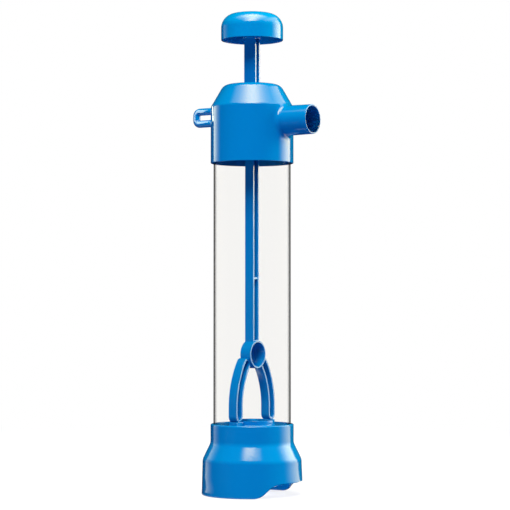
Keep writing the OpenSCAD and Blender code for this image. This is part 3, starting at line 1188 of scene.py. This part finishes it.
def side_pattern(rise, fall, levels, lean=0):
    """A dark surface with one lit panel, by its turns and by levels at heights, whose foot may lean."""
    def pattern(tree, x, y, z):
        turn = calculated(tree, "ARCTAN2", y, x)
        if lean:
            turn = calculated(tree, "SUBTRACT", turn, ramp(tree, z, *lean_heights, math.radians(lean), 0))
        sides = product(tree, ramp(tree, turn, *np.radians(rise)), ramp(tree, turn, *np.radians(fall)))
        return calculated(tree, "ADD", product(tree, sides, stepped(tree, z, levels)), wall_level)
    return pattern


def overhead_pattern(tree, x, y, z):
    """A panel that is brightest along its middle, with soft edges and a brighter run at its right."""
    across = calculated(tree, "ADD", y, ramp(tree, x, *overhead_shift))
    spread = product(tree, across, across, -1 / overhead_spread ** 2)
    gain = ramp(tree, x, *overhead_gain)
    middle = product(tree, calculated(tree, "EXPONENT", spread, 0), gain, overhead_peak)
    sides = calculated(tree, "ADD", ramp(tree, y, *overhead_run), overhead_level)
    back_edge = calculated(tree, "MAXIMUM", ramp(tree, x, *overhead_back), ramp(tree, y, *overhead_turn))
    right_edge = calculated(tree, "MAXIMUM", ramp(tree, y, *overhead_right), ramp(tree, x, *overhead_near))
    edges = product(tree, back_edge, ramp(tree, y, *overhead_left), right_edge)
    return product(tree, calculated(tree, "ADD", middle, sides), edges)


def strips(profile, angles, closed):
    """A mesh of strips between rings of (radius, height), over a list of angles."""
    mesh = bmesh.new()
    rings = [[mesh.verts.new(about_z(angle, radius, z)) for angle in angles] for radius, z in profile]
    count = len(angles)
    for here, there in zip(rings, rings[1:]):
        for i in range(count if closed else count - 1):
            j = (i + 1) % count
            mesh.faces.new((here[i], here[j], there[j], there[i]))
    return mesh


def one_face(corners):
    """A mesh of one face."""
    mesh = bmesh.new()
    mesh.faces.new([mesh.verts.new(corner) for corner in corners])
    return mesh


def eye_card():
    """A small card beside the hanging eye, square to the line from its middle."""
    middle = Vector(about_z(-math.pi / 2 - eye_azimuth, eye_middle, eye_z))
    out = Vector(about_z(eye_card_turn, math.cos(eye_card_rise), math.sin(eye_card_rise)))
    across = out.cross((0, 0, 1)).normalized() * eye_card_size[0] / 2
    up = across.cross(out).normalized() * eye_card_size[1] / 2
    centre = middle + out * eye_card_distance
    return one_face((centre - across - up, centre + across - up, centre + across + up, centre - across + up))


def mirrored_studio():
    """The dark studio with its lit panels, which the glossy plastic mirrors."""
    profile = ((wall_in_r, wall_z), (wall_r, wall_z), (wall_r, wall_h), (wall_in_r, wall_h))
    wall = strips(profile, full_turn(wall_sides), True)
    mirrored_only("studio_wall", wall, right_colour, side_pattern(right_rise, right_fall, right_levels))
    for name, (profile, rise, fall, levels, lean) in left_cards.items():
        turns = np.radians(np.linspace(fall[0], rise[0] + lean, wall_sides))
        card = strips(profile, turns, False)
        mirrored_only(name, card, left_colour, side_pattern(rise, fall, levels, lean))
    (back, front), (left, right) = overhead_reach, overhead_sides
    corners = [(x, y, overhead_z) for x, y in ((back, left), (front, left), (front, right), (back, right))]
    mirrored_only("overhead_panel", one_face(corners), overhead_colour, overhead_pattern)
    mirrored_only("eye_card", eye_card(), left_colour, level=eye_card_level)


def spout_flag():
    """A flag in front of the spout's mouth, which only keeps the lamps out of its bore."""
    rim = [about_spout(angle, spout_bore_r, spout_reach + flag_gap) for angle in full_turn(bar_columns)]
    flag = mesh_object("spout_flag", one_face(rim))
    flag.visible_glossy = False
    unseen(flag)


def seen_directly(tree):
    """1 on rays that show the background: from the camera, mirrored or through clear plastic."""
    path = node_of(tree, "ShaderNodeLightPath").outputs
    either = calculated(tree, "MAXIMUM", path["Is Camera Ray"], path["Is Glossy Ray"])
    return calculated(tree, "MAXIMUM", either, path["Is Transmission Ray"])


def floor():
    """A plain white floor that takes the object's shadow and runs out into the white background."""
    mesh = bmesh.new()
    bmesh.ops.create_grid(mesh, x_segments=1, y_segments=1, size=floor_half)
    plane = mesh_object("studio_floor", mesh)
    material, tree = new_material("white_floor")
    distance = node_of(tree, "ShaderNodeVectorMath", operation="LENGTH")
    link(tree, object_place(tree), distance.inputs[0])
    run_out = ramp(tree, distance.outputs["Value"], floor_near, floor_far, floor_glow_share, 1)
    bounced = node_of(tree, "ShaderNodeLightPath").outputs["Is Diffuse Ray"]
    paper = node_of(tree, "ShaderNodeBsdfDiffuse")
    link(tree, colour_mix(tree, bounced, floor_colour, floor_bounce_colour), paper.inputs["Color"])
    glow = node_of(tree, "ShaderNodeEmission")
    share = product(tree, run_out, seen_directly(tree))
    surfaced(tree, shader_mix(tree, share, paper.outputs["BSDF"], glow.outputs["Emission"]))
    plane.data.materials.append(material)


def world():
    """White where it is seen, and a soft fill elsewhere."""
    scene_world = bpy.data.worlds.new("studio")
    scene_world.use_nodes = True
    tree = scene_world.node_tree
    tree.nodes.clear()
    fill = node_of(tree, "ShaderNodeBackground", Color=fill_colour, Strength=fill_strength)
    seen = node_of(tree, "ShaderNodeBackground", Color=white)
    mix = shader_mix(tree, seen_directly(tree), fill.outputs["Background"], seen.outputs["Background"])
    link(tree, mix, node_of(tree, "ShaderNodeOutputWorld").inputs["Surface"])
    bpy.context.scene.world = scene_world


bpy.context.scene.view_settings.view_transform = "Standard"
camera()

materials = {"clear_barrel": clear_plastic("clear_barrel_plastic")}
for slot, finish in blue_finishes.items():
    materials[slot] = moulded_plastic(slot + "_plastic", *finish)
for slot, colour in rubber_finishes.items():
    materials[slot] = rubber(slot + "_skin", colour)

disc_hole_r = pin_r + disc_slack
finished(barrel_tube(), "barrel_tube")
finished(head_cap(), "head_cap")
finished(base_foot(), "base_foot")
finished(knob(), "knob")
finished(plunger_rod(), "plunger_rod")
finished(piston_body(), "piston_body")
finished(piston_seal(), "piston_seal")
finished(rubber_ring("piston_valve_flap", "piston_valve_disc", disc_hole_r), "piston_valve_disc")
finished(valve_pin("piston_valve_stud", "piston_valve_pin", plate_top_z), "piston_valve_pin")
finished(foot_valve_seat(), "foot_valve_seat")
finished(rubber_ring("foot_valve_flap", "foot_valve_disc", disc_hole_r), "foot_valve_disc")
finished(valve_pin("foot_valve_stud", "foot_valve_pin", seat_high.z), "foot_valve_pin")
finished(rubber_ring("barrel_gasket", "tube_gasket", bore_r), "tube_gasket")

for name, values in lamps.items():
    softbox(name, *values)
chamber_fill()
mirrored_studio()
spout_flag()
floor()
world()
